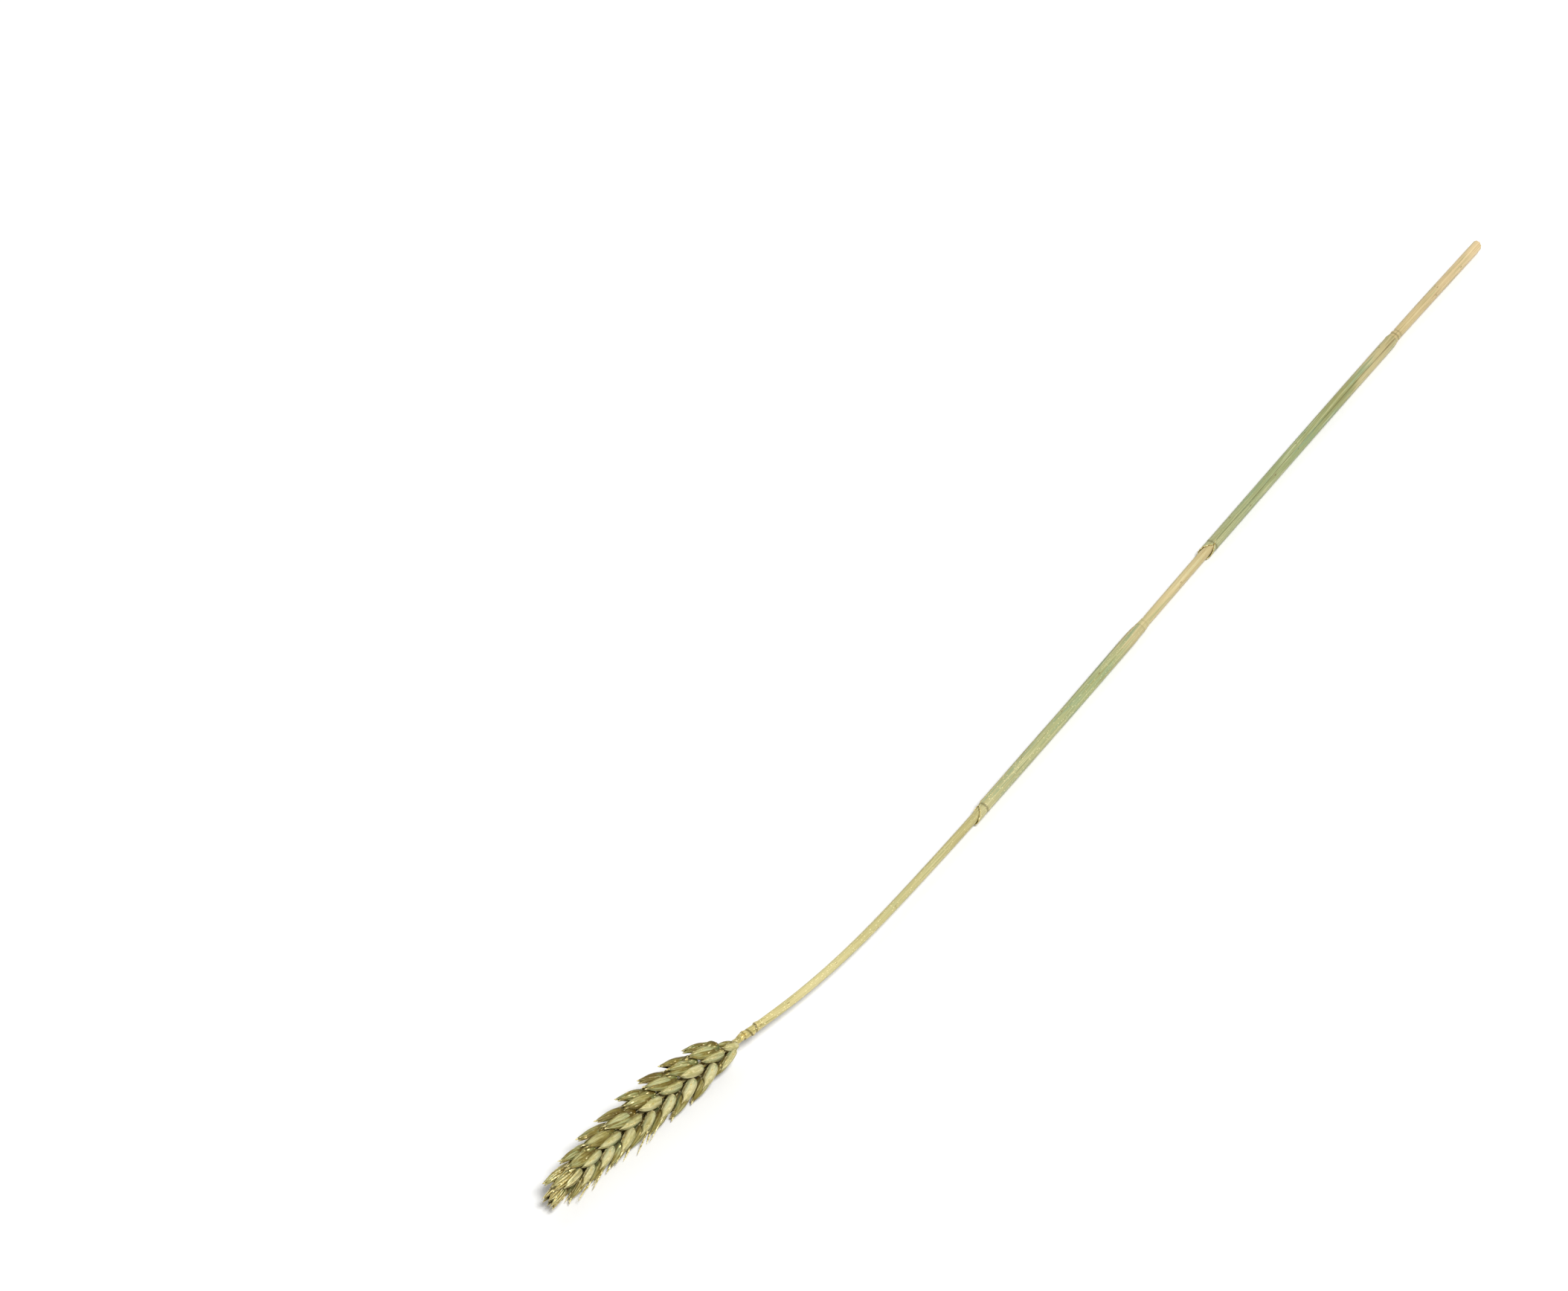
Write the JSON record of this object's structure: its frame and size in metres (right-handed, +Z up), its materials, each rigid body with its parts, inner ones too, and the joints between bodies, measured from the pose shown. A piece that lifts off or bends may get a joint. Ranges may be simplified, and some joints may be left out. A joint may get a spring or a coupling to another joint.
{
  "type": "wheat ear",
  "caption": "Dried ear of wheat on its long cut stem, lying down: two rows of husked spikelets on a zigzag rachis, a hollow straw with swollen joints, and two dry leaf sheaths.",
  "frame": {"origin": "on the surface it lies on, under the middle of its box", "axes": "+X along the straw towards the cut end, so the ear's tip is at -X; +Z up, away from the surface; the ear's neck bends to +Y"},
  "size_m": [0.5992, 0.028, 0.0147],
  "materials": {
    "straw": "dry, smooth straw with fine lengthwise veins, tan at the cut end and gold-green under the ear",
    "leaf": "matt, papery dried leaf with parallel veins, dyed sage green",
    "husk": "dyed sage-green chaff with a satin gold frosting on its keels, edges and tips"
  },
  "bodies": {
    "root": {"culm_and_rachis": "straw", "lower_leaf_sheath": "leaf", "flag_leaf_sheath": "leaf", "spikelet_01": "husk", "spikelet_02": "husk", "spikelet_03": "husk", "spikelet_04": "husk", "spikelet_05": "husk", "spikelet_06": "husk", "spikelet_07": "husk", "spikelet_08": "husk", "spikelet_09": "husk", "spikelet_10": "husk", "spikelet_11": "husk", "spikelet_12": "husk", "spikelet_13": "husk", "spikelet_14": "husk", "spikelet_15": "husk", "spikelet_16": "husk", "spikelet_17": "husk", "spikelet_terminal": "husk"}
  },
  "joints": []
}
